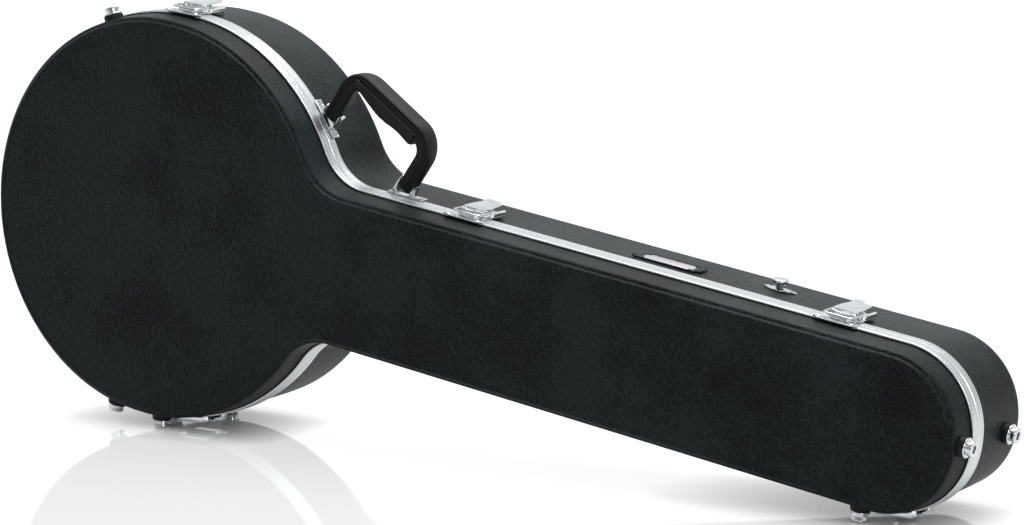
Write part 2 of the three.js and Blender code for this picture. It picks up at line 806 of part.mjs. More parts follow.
// A bracket: a riveted plate along the wall, with two ears square to the line of the pins
function handleBracket(wall, side) {
  const plate = plateFrom(shapeOf([
    [-bracketHalfLength, bracketPlace - bracketHalfWidth + rivetRadius],
    [rivetRadius - bracketHalfLength, bracketPlace - bracketHalfWidth],
    [bracketHalfLength - rivetRadius, bracketPlace - bracketHalfWidth],
    [bracketHalfLength, bracketPlace - bracketHalfWidth + rivetRadius],
    [bracketHalfLength, bracketPlace + bracketHalfWidth - rivetRadius],
    [bracketHalfLength - rivetRadius, bracketPlace + bracketHalfWidth],
    [rivetRadius - bracketHalfLength, bracketPlace + bracketHalfWidth],
    [-bracketHalfLength, bracketPlace + bracketHalfWidth - rivetRadius],
  ]), sheetBottom, sheetTop);
  const rivetPlace = bracketHalfLength - 2 * rivetEdgeShare * rivetRadius;
  const rivets = [-1, 1].map((end) => rivetAt(end * rivetPlace, bracketPlace, sheetTop));

  // The ears and the pin are made in the handle's frame and carried over to the wall's frame
  const ear = new THREE.Shape();
  ear.moveTo(-earHalfWidth, -handlePinRise - legHalfWidth);
  ear.lineTo(earHalfWidth, -handlePinRise - legHalfWidth);
  ear.lineTo(earHalfWidth, 0);
  ear.absarc(0, 0, earTip, 0, Math.PI, false);
  const place = legHalfWidth + runningGap;
  const centre = side * pinSpan / 2;
  const ears = [
    barAlongX(ear, centre + place, centre + place + earWall, roundFacets),
    barAlongX(ear, centre - place - earWall, centre - place, roundFacets),
  ];
  const pinReach = place + earWall + fuseDepth;
  const pin = rodAlongX(handlePinRadius, centre - pinReach, centre + pinReach, 0, 0, smallFacets);
  wall.updateMatrix();
  handleGroup.updateMatrix();
  const toWall = wall.matrix.clone().invert().multiply(handleGroup.matrix);
  const upper = join(...ears, pin).applyMatrix4(toWall);
  const reach = 2 * bracketHalfLength;
  const below = boxBetween(-reach, -reach, -reach, reach, reach, sheetTop - fuseDepth);
  return join(plate, ...rivets, cut(upper, below));
}
const bodyBracketWall = bodyWall(bracketBodyAngle);
const neckBracketWall = neckWall(bracketNeckPlace);
add(bodyBracketWall, 'handle_bracket_body', handleBracket(bodyBracketWall, -1), chrome);
add(neckBracketWall, 'handle_bracket_neck', handleBracket(neckBracketWall, 1), chrome);

// The hinges share one level axis below the standing edge
const hingeDrop = seatGap + valanceWall + runningGap + hingeKnuckleRadius;
const hingeGroup = new THREE.Group();
hingeGroup.rotation.y = -tilt;
caseGroup.add(hingeGroup);
const hingeStep = padRadius + hingeFootGap + hingeLength / 2;
const bodyFootReach = bodyRadius * Math.cos(degrees(lidFloorAngle) - tilt);
const bodyHingePlace = (bodyStretch / 2) * Math.cos(tilt) + bodyFootReach + hingeStep;
const neckFootReach = neckFloorPlace * Math.cos(tilt) - neckHalfWidth * Math.sin(tilt);
const endHingePlace = neckFootReach + hingeStep;
const levelTurn = new THREE.Matrix4().makeRotationY(tilt);
const knuckleEnd = hingeLength / 2;
const knuckleMiddle = hingeLength / 6;

// A leaf reaches from its knuckles to the wall of its half; side is +1 on the base, -1 on the lid
function hingeLeaf(place, side, spans) {
  const axis = -edgeDistance - hingeDrop;
  const top = -edgeDistance - sheetBottom;
  const flat = boxBetween(
    place - knuckleEnd,
    hingeLeafLip,
    top - sheetWall,
    place + knuckleEnd,
    hingeLeafReach,
    top,
  );
  const block = boxBetween(
    place - knuckleEnd,
    valanceWidth + runningGap,
    top - fuseDepth,
    place + knuckleEnd,
    hingeLeafReach,
    top + hingeLength / 2,
  );
  const walls = outlineSolid([[seatGap, 0], [seatGap, baseDepth]], false).applyMatrix4(levelTurn);
  const packer = cut(block, walls);
  const pieces = spans.flatMap(([from, to]) => {
    const strip = boxBetween(
      place + from,
      hingeKnuckleRadius / 3,
      top - sheetWall,
      place + to,
      hingeLeafLip + fuseDepth,
      top,
    );
    return [strip, rodAlongX(hingeKnuckleRadius, place + from, place + to, 0, axis, smallFacets)];
  });
  const bore = rodAlongX(
    hingePinRadius + runningGap / 2,
    place - knuckleEnd - cutOverrun,
    place + knuckleEnd + cutOverrun,
    0,
    axis,
    smallFacets,
  );
  const leaf = cut(join(flat, packer, ...pieces), bore);
  return side > 0 ? leaf : mirroredInDepth(leaf);
}

function hingePin(place) {
  const axis = -edgeDistance - hingeDrop;
  return rodAlongX(hingePinRadius, place - knuckleEnd, place + knuckleEnd, 0, axis, smallFacets);
}

const outerSpans = [
  [-knuckleEnd, -knuckleMiddle - runningGap / 2],
  [knuckleMiddle + runningGap / 2, knuckleEnd],
];
const middleSpan = [[runningGap / 2 - knuckleMiddle, knuckleMiddle - runningGap / 2]];
for (const [name, place] of [['body', bodyHingePlace], ['end', endHingePlace]]) {
  add(hingeGroup, `hinge_${name}_base_leaf`, hingeLeaf(place, 1, outerSpans), chrome);
  add(hingeGroup, `hinge_${name}_lid_leaf`, hingeLeaf(place, -1, middleSpan), chrome);
  add(hingeGroup, `hinge_${name}_pin`, hingePin(place), platedSteel);
}

// Bumper feet. A foot that stands on the floor gets the height that reaches it.
function floorHeight(x, z, normalAngle) {
  const lean = Math.abs(normalAngle - tilt + Math.PI / 2);
  const drop = x * Math.sin(tilt) - z * Math.cos(tilt);
  return (floorDistance - drop - cupTipRadius * Math.sin(lean)) / Math.cos(lean);
}

function footPad(place) {
  const pad = turnedAlongZ([
    [0, -wallDraft - seatGap],
    [padRadius, -wallDraft - seatGap],
    [padRadius, padHeight * padEdgeShare],
    [cupFlangeRadius, padHeight],
    [0, padHeight],
  ], smallFacets);
  return pad.translate(0, place, 0);
}

function footCup(place, height) {
  const bottom = padHeight + seatGap;
  const flange = bottom + cupFlangeHeight;
  const waist = cupTipRadius * cupWaistShare;
  const cup = turnedAlongZ([
    [0, bottom],
    [cupFlangeRadius, bottom],
    [cupFlangeRadius, flange],
    [waist, flange + cupFlangeHeight / 2],
    [cupTipRadius, height],
    [cupBoreRadius, height],
    [cupBoreRadius, height - cupBoreDepth],
    [0, height - cupBoreDepth],
  ], smallFacets);
  return cup.translate(0, place, 0);
}

function foot(group, name, height) {
  const half = name.split('_')[0];
  const place = footPlaces[half];
  add(group, `foot_pad_${name}`, seatedOnWall(footPad(place), group, half), blackRubber);
  add(group, `foot_cup_${name}`, footCup(place, height), chrome);
}

function bodyFoot(name, angle, stands) {
  const group = bodyWall(angle);
  const { x, z } = group.position;
  foot(group, name, stands ? floorHeight(x, z, degrees(angle)) : footHeight);
}
bodyFoot('lid_body_top', bodyTopFootAngle, false);
bodyFoot('lid_body_low', bodyLowFootAngle, false);
bodyFoot('lid_body_floor', lidFloorAngle, true);
bodyFoot('base_body_low', bodyLowFootAngle, false);
bodyFoot('base_body_floor', baseFloorAngle, true);
for (const half of ['lid', 'base']) {
  const group = neckWall(neckFloorPlace, -1);
  const { x, z } = group.position;
  foot(group, `${half}_neck_floor`, floorHeight(x, z, -Math.PI / 2));
  foot(endWall(endFootRises[half]), `${half}_end`, footHeight);
}

// Strap post
function strapPost() {
  const leaf = new THREE.Shape();
  leaf.moveTo(-postPlateHalfLength, 0);
  leaf.quadraticCurveTo(0, 2 * postPlateHalfWidth, postPlateHalfLength, 0);
  leaf.quadraticCurveTo(0, -2 * postPlateHalfWidth, -postPlateHalfLength, 0);
  const top = seatGap + sheetWall;
  const post = turnedAlongZ([
    [0, top - fuseDepth],
    [postStemRadius * postFootShare, top - fuseDepth],
    [postStemRadius, top + sheetWall],
    [postStemRadius, postHeight / 2],
    [postHeadRadius, postHeight * postDomeShares.low],
    [postHeadRadius, postHeight * postDomeShares.high],
    [postHeadRadius * postDomeShares.radius, postHeight],
    [0, postHeight],
  ], smallFacets);
  const plate = plateFrom(leaf, seatGap, top, roundFacets);
  const rivetPlace = postPlateHalfLength - 2 * rivetRadius;
  const rivets = [-1, 1].map((side) => rivetAt(side * rivetPlace, 0, top));
  const fall = wallFall('base', postDepthPlace - postPlateHalfWidth);
  return join(plate, post, ...rivets).translate(0, postDepthPlace, -fall);
}
add(neckWall(postPlace), 'strap_post', strapPost(), chrome);

// Blank name plate in its frame, both with notched corners
function notchedShape(halfLength, halfWidth, notch) {
  const corners = [
    [halfLength, halfWidth - notch],
    [halfLength - notch, halfWidth - notch],
    [halfLength - notch, halfWidth],
  ];
  const turned = (x, y) => corners.map(([cx, cy]) => [x * cx, y * cy]);
  return [
    ...turned(1, 1),
    ...turned(-1, 1).reverse(),
    ...turned(-1, -1),
    ...turned(1, -1).reverse(),
  ];
}

function nameFrame() {
  const inner = [namePlateHalfLength + seatGap, namePlateHalfWidth + seatGap];
  const outer = [inner[0] + nameFrameEnd, inner[1] + nameFrameWidth];
  const hole = shapeOf(notchedShape(...inner, namePlateNotch));
  const ring = plateFrom(shapeOf(notchedShape(...outer, namePlateNotch)), seatGap, seatGap + nameFrameWall);
  return cut(ring, plateFrom(hole, 0, nameFrameWall + cutOverrun));
}

function namePlate() {
  const shape = shapeOf(notchedShape(namePlateHalfLength, namePlateHalfWidth, namePlateNotch));
  return plateFrom(shape, seatGap, seatGap + namePlateWall);
}
const nameWall = neckWall(namePlatePlace);
const nameFall = wallFall('base', namePlateDepthPlace - namePlateHalfWidth - nameFrameWidth);
nameWall.translateY(namePlateDepthPlace).translateZ(-nameFall);
add(nameWall, 'name_plate_frame', nameFrame(), blackAbs);
add(nameWall, 'name_plate', namePlate(), platedSteel);

// The case stands on its feet, with the middle of its footprint at the origin
const standing = new THREE.Group();
standing.add(caseGroup);
const extent = new THREE.Box3().setFromObject(standing, true);
standing.position.set(
  -(extent.min.x + extent.max.x) / 2,
  -(extent.min.y + extent.max.y) / 2,
  -extent.min.z,
);

export default standing;
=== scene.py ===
"""A hard-shell case for a long-necked, round-bodied string instrument.

It stands closed on its hinge edge. Lengths are in metres and angles in degrees.
"""

import json
import math

import bpy
from mathutils import Matrix, Vector


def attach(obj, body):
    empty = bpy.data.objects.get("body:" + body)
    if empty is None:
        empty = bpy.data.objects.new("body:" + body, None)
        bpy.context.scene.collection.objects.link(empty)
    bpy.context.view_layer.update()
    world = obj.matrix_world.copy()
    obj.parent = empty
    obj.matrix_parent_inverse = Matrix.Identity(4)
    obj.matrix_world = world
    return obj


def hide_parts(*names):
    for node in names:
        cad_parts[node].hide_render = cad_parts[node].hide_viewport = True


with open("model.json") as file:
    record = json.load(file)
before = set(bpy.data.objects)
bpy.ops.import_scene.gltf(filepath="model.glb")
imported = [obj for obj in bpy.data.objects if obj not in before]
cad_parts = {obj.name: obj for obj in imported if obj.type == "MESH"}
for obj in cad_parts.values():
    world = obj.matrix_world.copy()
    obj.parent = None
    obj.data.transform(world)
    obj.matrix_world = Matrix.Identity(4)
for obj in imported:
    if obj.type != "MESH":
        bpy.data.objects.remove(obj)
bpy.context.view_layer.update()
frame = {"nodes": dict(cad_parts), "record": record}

# Plan outline at the parting line, measured from the middle of the round body
BODY_RADIUS = 0.203
BODY_STRETCH = 0.008
NECK_HALF_WIDTH = 0.076
NECK_END = 0.901
END_RADIUS = 0.074
FILLET_RADIUS = 0.056
BODY_CENTRE = Vector((-0.347084, -0.025, 0.214611))

# Moulded halves
LID_DEPTH = 0.043
BASE_DEPTH = 0.093
SHELL_WALL = 0.003
EDGE_ROUND = 0.011
WALL_DRAFT = 0.002
HALF_GAP = 0.0002
FACE_INSET = 0.002
# Offsets from the wall and drops below the bead, over a soft chamfer and a groove to the face
EDGE_LINE = (
    (-0.0023, 0.0062), (-0.0026, 0.0052), (-0.0032, 0.0045), (-0.0042, 0.0038), (-0.0051, 0.0034),
    (-0.0056, 0.0031), (-0.0059, 0.0025), (-0.0065, 0.0014), (-0.0073, 0.0006), (-0.0082, 0.0001),
    (-0.009, 0), (-0.01, 0.0002), (-0.011, 0.0006),
)
SEAT_GAP = 0.0003

# Metal band round each half
VALANCE_WIDTH = 0.0105
VALANCE_WALL = 0.0016
VALANCE_EDGE = 0.0005
GROOVE_PLACES = (0.0034, 0.0071)
GROOVE_HALF_WIDTH = 0.0004
GROOVE_DEPTH = 0.0004

# Padded linings and their soft rims
LINING_RIM = 0.0015
BASE_LINING_WALL = 0.012
LID_LINING_WALL = 0.009
LINING_ROUND = 0.008
CRADLE_ROUND = 0.004
CRADLE_SEGMENTS = 5
BOX_ROUND = 0.0013
BOX_LID_ROUND = 0.0018
BOX_SEGMENTS = 4

# Sheet hardware and rivets
SHEET_WALL = 0.0012
SHEET_TOP = SEAT_GAP + VALANCE_WALL + SEAT_GAP + SHEET_WALL

# Draw latches
LATCH_BODY_ANGLE = 92
LATCH_FILLET_STEP = 0.121
LATCH_END_STEP = 0.148
LATCH_HALF_WIDTH = 0.017
TRAY_START = 0.0145
TRAY_END = 0.0355
TRAY_HEIGHT = 0.0083
TRAY_WALL = 0.0011
TRAY_CORNER = 0.0035
TRAY_SLOPE = 0.003
PRESSED_EDGE = 0.00035
EDGE_ANGLE = 35

# Handle
BRACKET_BODY_ANGLE = 40
BRACKET_FILLET_STEP = 0.039
BRACKET_PLACE = 0.011
BRACKET_HALF_LENGTH = 0.021
BRACKET_HALF_WIDTH = 0.0047
BRACKET_END = 0.0172
BRACKET_END_HALF = 0.0033
BRACKET_END_RISE = 0.0007
BRACKET_END_RIM = 0.001
RIVET_RISE = 0.0012
PIN_RISE = 0.013
PIN_RADIUS = 0.002
PIN_PLAY = 0.0004
LEG_FOOT = 0.0055
LEG_FOOT_HALF_WIDTH = 0.006
LEG_FOOT_HALF_DEPTH = 0.0051
LEG_HALF_WIDTH = 0.008
LEG_HALF_DEPTH = 0.007
BAND_HEIGHT = 0.0523
BAND_CORNER = 0.0215
BAND_HALF_DEPTH = 0.0108
# Half sections as shares of height and depth, mirrored across the handle's middle
BAND_SHARES = (
    (1, 0), (1, 0.6), (0.94, 0.85), (0.8, 0.97), (0.63, 1), (0.58, 0.9), (0.53, 1), (0.22, 1),
    (0.17, 0.9), (0.12, 1), (-0.6, 1), (-0.84, 0.92), (-0.97, 0.72), (-1, 0.4), (-1, 0),
)
GRIP_TOP = 0.0513
GRIP_HALF_DEPTH = 0.0119
GRIP_SHARES = (
    (0, 0), (0, 0.9), (0.06, 1), (0.45, 1), (0.65, 0.97), (0.83, 0.86), (0.95, 0.62), (1, 0.3), (1, 0),
)
# Places along the handle and heights of the pad's underside
GRIP_UNDERSIDE = (
    (-0.046, 0.0416), (-0.036, 0.0402), (-0.024, 0.0374), (-0.014, 0.0353), (-0.007, 0.0347),
    (0.002, 0.0352), (0.01, 0.0364), (0.016, 0.0369), (0.023, 0.0367), (0.03, 0.0358),
    (0.034, 0.0356), (0.0362, 0.0366), (0.0368, 0.0392),
)

# Bumper feet
PAD_RADIUS = 0.0098
PAD_HEIGHT = 0.003
PAD_EDGE = 0.0008
PAD_SEAT = 0.0008
CUP_FLANGE_RADIUS = 0.0094
CUP_FLANGE_HEIGHT = 0.0018
CUP_WAIST_RADIUS = 0.0067
CUP_TIP_RADIUS = 0.0076
CUP_TIP_EDGE = 0.001
CUP_FLARE_SHARE = 2.5
CUP_BORE_RADIUS = 0.0036
CUP_BORE_DEPTH = 0.004
FOOT_HEIGHT = 0.011
FOOT_PLACES = {"lid": -0.025, "base": 0.062}
END_FOOT_RISES = {"lid": 0.004, "base": 0}
LID_FLOOR_ANGLE = -84.6
BASE_FLOOR_ANGLE = -79.2
NECK_FOOT_STEP = 0.015
BODY_TOP_FOOT_ANGLE = 113.8
BODY_LOW_FOOT_ANGLE = -98.8

# Strap post
POST_PLACE = 0.661
POST_DEPTH_PLACE = 0.05
POST_PLATE_HALF_WIDTH = 0.007
POST_STEM_RADIUS = 0.0044
POST_FOOT_SHARE = 1.3
POST_HEAD_RADIUS = 0.0078
POST_HEAD_EDGE = 0.0012
POST_HEIGHT = 0.011

# Camera and floor
CAMERA_PLACE = (1.93794, -2.81617, 0.75291)
CAMERA_TURN = (80.6409, 0.6588, 33.8825)
CAMERA_LENS = 127.02
SENSOR_WIDTH = 36
FLOOR_SIZE = 60
FLOOR_GLOW = 0.62
# Reach and samples of the painted contact shadow that dims the floor's glow near the case
CONTACT_SHADE_REACH = 0.05
CONTACT_SHADE_SAMPLES = 8
BACKDROP_DIRECTION = (-0.557, 0.83, 0)
ROOM_LEVEL = 0.23
BACKDROP_LEVEL = 0.95
BACKDROP_FULL = 0.8
# Name, place, target, size and watts of each lamp
LAMPS = (
    ("overhead_lamp", (0.2, 0.6, 2.6), (0, 0, 0.15), 2.2, 74),
    ("side_lamp", (2.3, -1.5, 1.2), (0.45, 0, 0.1), 0.9, 24),
)

# Mesh work
TURN_STEP = 3
SMALL_TURN_STEPS = 40
SMALL_ARC_STEPS = 4
ARC_STEPS = 6
RIM_STEPS = 12
PIN_HOLE_STEPS = 24
MERGE_DISTANCE = 0.000002
FLAT_ANGLE = 1
SMOOTH_ANGLE = 32


# Shapes that follow from the outline
half_stretch = BODY_STRETCH / 2
fillet_height = NECK_HALF_WIDTH + FILLET_RADIUS
fillet_reach = math.sqrt((BODY_RADIUS + FILLET_RADIUS) ** 2 - fillet_height**2)
fillet_place = half_stretch + fillet_reach
fillet_start = math.degrees(math.atan2(fillet_height, fillet_reach))
corner_place = NECK_END - END_RADIUS
corner_height = NECK_HALF_WIDTH - END_RADIUS
tilt_run = corner_place - half_stretch
tilt = math.asin((BODY_RADIUS - END_RADIUS) / math.hypot(tilt_run, corner_height))
tilt -= math.atan2(corner_height, tilt_run)
floor_distance = half_stretch * math.sin(tilt) + BODY_RADIUS + FOOT_HEIGHT
case_frame = Matrix.Translation(BODY_CENTRE) @ Matrix.Rotation(tilt, 4, "Y")
sweep_start = (fillet_place + corner_place) / 2
node_body = {}
for body_name, node_names in frame["record"]["behaviour"]["bodies"].items():
    for node_name in node_names:
        node_body[node_name] = body_name


# Small tools for modelling


def deselect_all():
    """Leave edit mode and deselect everything."""
    if bpy.context.object and bpy.context.object.mode != "OBJECT":
        bpy.ops.object.mode_set(mode="OBJECT")
    bpy.ops.object.select_all(action="DESELECT")


def pick(piece):
    """Make one object the only selected one."""
    deselect_all()
    piece.select_set(True)
    bpy.context.view_layer.objects.active = piece


def edit(piece):
    """Open one object in edit mode with nothing selected."""
    pick(piece)
    bpy.ops.object.mode_set(mode="EDIT")
    bpy.ops.mesh.select_all(action="DESELECT")


def start_at(name, place):
    """A new mesh with a single vertex at a place, open in edit mode."""
    deselect_all()
    bpy.ops.mesh.primitive_plane_add(size=1)
    piece = bpy.context.object
    piece.name = name
    bpy.ops.object.mode_set(mode="EDIT")
    bpy.ops.mesh.merge(type="CENTER")
    bpy.ops.transform.translate(value=place)
    return piece


def draw(points, closed=False):
    """Extrude the selected vertex through the points that follow the first one."""
    for before, after in zip(points, points[1:]):
        step = Vector(after) - Vector(before)
        bpy.ops.mesh.extrude_region_move(TRANSFORM_OT_translate={"value": step})
    bpy.ops.mesh.select_all(action="SELECT")
    if closed:
        bpy.ops.mesh.remove_doubles(threshold=MERGE_DISTANCE)


def arc(centre, radius, first, last, steps):
    """Points along an arc in a profile, as (offset, depth) pairs."""
    points = []
    for step in range(steps + 1):
        angle = math.radians(first + (last - first) * step / steps)
        points.append((centre[0] + radius * math.cos(angle), centre[1] + radius * math.sin(angle)))
    return points


def select_places(piece, chosen):
    """Select the vertices whose place passes a test."""
    bpy.ops.mesh.select_mode(type="VERT")
    bpy.ops.mesh.select_all(action="DESELECT")
    bpy.ops.object.mode_set(mode="OBJECT")
    for vertex in piece.data.vertices:
        vertex.select = chosen(vertex.co)
    bpy.ops.object.mode_set(mode="EDIT")


def spin(centre, angle, axis, steps):
    """Sweep what is selected round an axis."""
    bpy.ops.mesh.spin(
        steps=steps,
        angle=math.radians(angle),
        center=centre,
        axis=axis,
        use_normal_flip=False,
    )


def finish_mesh(piece):
    """Close seams, turn faces outwards and leave edit mode."""
    bpy.ops.mesh.select_mode(type="VERT")
    bpy.ops.mesh.select_all(action="SELECT")
    bpy.ops.mesh.remove_doubles(threshold=MERGE_DISTANCE)
    bpy.ops.mesh.normals_make_consistent(inside=False)
    bpy.ops.object.mode_set(mode="OBJECT")


def turned(name, profile):
    """A profile of (radius, height) pairs, turned once round the upright axis."""
    points = [Vector((radius, 0, height)) for radius, height in profile]
    piece = start_at(name, points[0])
    draw(points)
    spin((0, 0, 0), 360, (0, 0, 1), SMALL_TURN_STEPS)
    finish_mesh(piece)
    return piece


def fill_loop(piece, chosen):
    """Close the open loop whose vertices pass a test."""
    select_places(piece, chosen)
    bpy.ops.mesh.edge_face_add()


def modify(piece, kind, **settings):
    """Add one modifier and apply it."""
    pick(piece)
    modifier = piece.modifiers.new(kind.title(), kind)
    for key, value in settings.items():
        setattr(modifier, key, value)
    bpy.ops.object.modifier_apply(modifier=modifier.name)


def settle(piece, place, smooth=SMOOTH_ANGLE):
    """Carry a finished mesh into the frame and shade it smooth."""
    pick(piece)
    piece.matrix_world = place
    bpy.ops.object.transform_apply(location=True, rotation=True, scale=True)
    bpy.ops.object.shade_smooth_by_angle(angle=math.radians(smooth))


def dress(piece, surface, *nodes):
    """Give a piece its material and make it stand for CAD nodes."""
    finish, slot = surface
    piece.data.materials.clear()
    piece.data.materials.append(finish)
    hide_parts(*nodes)
    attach(piece, node_body[nodes[0]])


# Materials


def linear(code):
    """An sRGB hex colour as linear RGBA."""
    channels = []
    for place in (1, 3, 5):
        value = int(code[place : place + 2], 16) / 255
        channels.append(value / 12.92 if value <= 0.04045 else ((value + 0.055) / 1.055) ** 2.4)
    return (*channels, 1)


def add_node(tree, kind, links=None, values=None, **settings):
    """Add one shader node with its settings, input values and links."""
    made = tree.nodes.new(kind)
    for key, value in settings.items():
        setattr(made, key, value)
    for key, value in (values or {}).items():
        made.inputs[key].default_value = value
    for key, source in (links or {}).items():
        tree.links.new(source, made.inputs[key])
    return made


def new_material(name):
    """A material with its shader and the object coordinates."""
    made = bpy.data.materials.new(name)
    made.use_nodes = True
    tree = made.node_tree
    shader = tree.nodes["Principled BSDF"]
    coordinates = add_node(tree, "ShaderNodeTexCoord").outputs["Object"]
    return made, tree, shader, coordinates


def noise(tree, place, size, detail):
    """Noise whose features have a given size."""
    values = {"Scale": 1 / size, "Detail": detail}
    return add_node(tree, "ShaderNodeTexNoise", {"Vector": place}, values).outputs["Fac"]


def stretched_noise(tree, place, scales, detail):
    """Fine lines, from noise on stretched coordinates."""
    stretched = add_node(tree, "ShaderNodeMapping", {"Vector": place}, {"Scale": scales})
    return noise(tree, stretched.outputs["Vector"], 1.0, detail)


def combined(tree, first, second, operation):
    """The sum, product or larger one of two values."""
    return add_node(tree, "ShaderNodeMath", {0: first, 1: second}, operation=operation).outputs[0]


def ramp(tree, value, dark, light, ends=(0, 1)):
    """A tone between two sRGB colours."""
    made = add_node(tree, "ShaderNodeValToRGB", {"Fac": value})
    for index, code in enumerate((dark, light)):
        made.color_ramp.elements[index].position = ends[index]
        made.color_ramp.elements[index].color = linear(code)
    return made.outputs["Color"]


def ranged(tree, value, low, high, start=0.0, end=1.0):
    """A value carried over from one range to another."""
    values = {"From Min": start, "From Max": end, "To Min": low, "To Max": high}
    return add_node(tree, "ShaderNodeMapRange", {"Value": value}, values).outputs["Result"]


def bumped(tree, height, strength, depth):
    """A bumped surface from a height."""
    values = {"Strength": strength, "Distance": depth}
    return add_node(tree, "ShaderNodeBump", {"Height": height}, values).outputs["Normal"]


def link_surface(tree, shader, **sources):
    """Link sources to the shader's inputs, where an underscore stands for a space."""
    for name, source in sources.items():
        tree.links.new(source, shader.inputs[name.replace("_", " ")])


def pebbled_abs():
    """Vacuum-formed ABS: near-black, pebbled on its flat faces and drawn smoother on its walls.

    The real pebbles are about 1.5 mm wide. They are drawn a little wider, so that they show.
    """
    made, tree, shader, place = new_material("pebbled_abs")
    pebble_size = 0.0026
    clump_size = 0.007
    mottle_size = 0.09
    pebble_depth = 0.0009
    grain = add_node(tree, "ShaderNodeTexVoronoi", {"Vector": place}, {"Scale": 1 / pebble_size})
    clumps = noise(tree, place, clump_size, 4.0)
    height = combined(tree, grain.outputs["Distance"], clumps, "ADD")
    normal = add_node(tree, "ShaderNodeTexCoord").outputs["Normal"]
    facing = add_node(tree, "ShaderNodeSeparateXYZ", {0: normal})
    flatness = add_node(tree, "ShaderNodeMath", {0: facing.outputs["Y"]}, operation="ABSOLUTE")
    strength = ranged(tree, flatness.outputs[0], 0.22, 1.0, 0.6, 0.98)
    bump = add_node(
        tree, "ShaderNodeBump", {"Height": height, "Strength": strength}, {"Distance": pebble_depth}
    )
    tone = combined(tree, height, noise(tree, place, mottle_size, 3.0), "MULTIPLY")
    link_surface(
        tree,
        shader,
        Base_Color=ramp(tree, tone, "#050809", "#1e2729", (0.3, 0.62)),
        Roughness=ranged(tree, clumps, 0.36, 0.56),
        Normal=bump.outputs["Normal"],
    )
    shader.inputs["Specular IOR Level"].default_value = 0.12
    return made


def satin_aluminium():
    """Extruded aluminium with a satin face: fine lines run along the band."""
    made, tree, shader, place = new_material("satin_aluminium")
    line_size = 0.0009
    line_depth = 0.0002
    along_scale = 3.0
    lines = stretched_noise(tree, place, (along_scale, 1 / line_size, along_scale), 3.0)
    link_surface(
        tree,
        shader,
        Base_Color=ramp(tree, lines, "#c6cacc", "#dfe2e4", (0.3, 0.7)),
        Roughness=ranged(tree, lines, 0.26, 0.45),
        Normal=bumped(tree, lines, 0.3, line_depth),
    )
    shader.inputs["Metallic"].default_value = 1.0
    return made


def chrome_plate():
    """Chromium plate over pressed steel: bright, with the faint waves of buffing."""
    made, tree, shader, place = new_material("chrome_plate")
    wave_size = 0.006
    wave_depth = 0.0004
    waves = noise(tree, place, wave_size, 2.0)
    link_surface(
        tree,
        shader,
        Base_Color=ramp(tree, waves, "#c6cacd", "#e0e3e5"),
        Roughness=ranged(tree, waves, 0.08, 0.18),
        Normal=bumped(tree, waves, 0.16, wave_depth),
    )
    shader.inputs["Metallic"].default_value = 1.0
    return made


def moulded_rubber():
    """Moulded black rubber: deep black, a dull gloss and a fine spark-eroded grain."""
    made, tree, shader, place = new_material("moulded_rubber")
    grain_size = 0.0007
    grain_depth = 0.0003
    grain = noise(tree, place, grain_size, 3.0)
    link_surface(
        tree,
        shader,
        Base_Color=ramp(tree, grain, "#070708", "#0f0f10"),
        Roughness=ranged(tree, grain, 0.42, 0.6),
        Normal=bumped(tree, grain, 0.35, grain_depth),
    )
    shader.inputs["Specular IOR Level"].default_value = 0.25
    return made


def plush_pile():
    """Knitted nylon plush glued to foam: charcoal, with a short pile that catches light at its edges."""
    made, tree, shader, place = new_material("plush_pile")
    tuft_size = 0.0022
    tuft_depth = 0.001
    nap_size = 0.03
    tufts = noise(tree, place, tuft_size, 4.0)
    both = combined(tree, tufts, noise(tree, place, nap_size, 2.0), "MULTIPLY")
    link_surface(
        tree,
        shader,
        Base_Color=ramp(tree, both, "#141418", "#2c2c33", (0.12, 0.42)),
        Normal=bumped(tree, tufts, 0.8, tuft_depth),
    )
    shader.inputs["Roughness"].default_value = 0.95
    shader.inputs["Sheen Weight"].default_value = 0.35
    shader.inputs["Sheen Roughness"].default_value = 0.5
    return made


def plated_steel():
    """Nickel-plated steel with a fine brushed face: a pale, slightly warm grey."""
    made, tree, shader, place = new_material("plated_steel")
    line_size = 0.0006
    line_depth = 0.0001
    along_scale = 12.0
    lines = stretched_noise(tree, place, (along_scale, 1 / line_size, 1 / line_size), 2.0)
    link_surface(
        tree,
        shader,
        Base_Color=ramp(tree, lines, "#b3b0b6", "#cbc8ce"),
        Roughness=ranged(tree, lines, 0.3, 0.48),
        Normal=bumped(tree, lines, 0.2, line_depth),
    )
    shader.inputs["Metallic"].default_value = 1.0
    return made


def polished_floor():
    """White polished board: the camera and bright metal see it as white, and it keeps the shadow; near
    the case its glow is dimmed by ambient occlusion, a painted contact shadow.
    """
    made, tree, shader, _ = new_material("polished_floor")
    shader.inputs["Base Color"].default_value = linear("#8c8c8c")
    shader.inputs["Roughness"].default_value = 0.05
    shader.inputs["Specular IOR Level"].default_value = 0.5
    path = add_node(tree, "ShaderNodeLightPath")
    # Painted contact shadow: ambient occlusion dims the floor's glow within a short reach of the case
    painted_contact_shade = add_node(
        tree, "ShaderNodeAmbientOcclusion", values={"Distance": CONTACT_SHADE_REACH}, samples=CONTACT_SHADE_SAMPLES
    )
    seen = combined(tree, path.outputs["Is Camera Ray"], path.outputs["Is Glossy Ray"], "MAXIMUM")
    strength = combined(tree, seen, painted_contact_shade.outputs["AO"], "MULTIPLY")
    lifted = add_node(tree, "ShaderNodeMath", {0: strength}, {1: FLOOR_GLOW}, operation="MULTIPLY")
    glow = add_node(tree, "ShaderNodeEmission", {"Strength": lifted.outputs[0]})
    both = add_node(tree, "ShaderNodeAddShader", {0: shader.outputs["BSDF"], 1: glow.outputs["Emission"]})
    tree.links.new(both.outputs["Shader"], tree.nodes["Material Output"].inputs["Surface"])
    return made


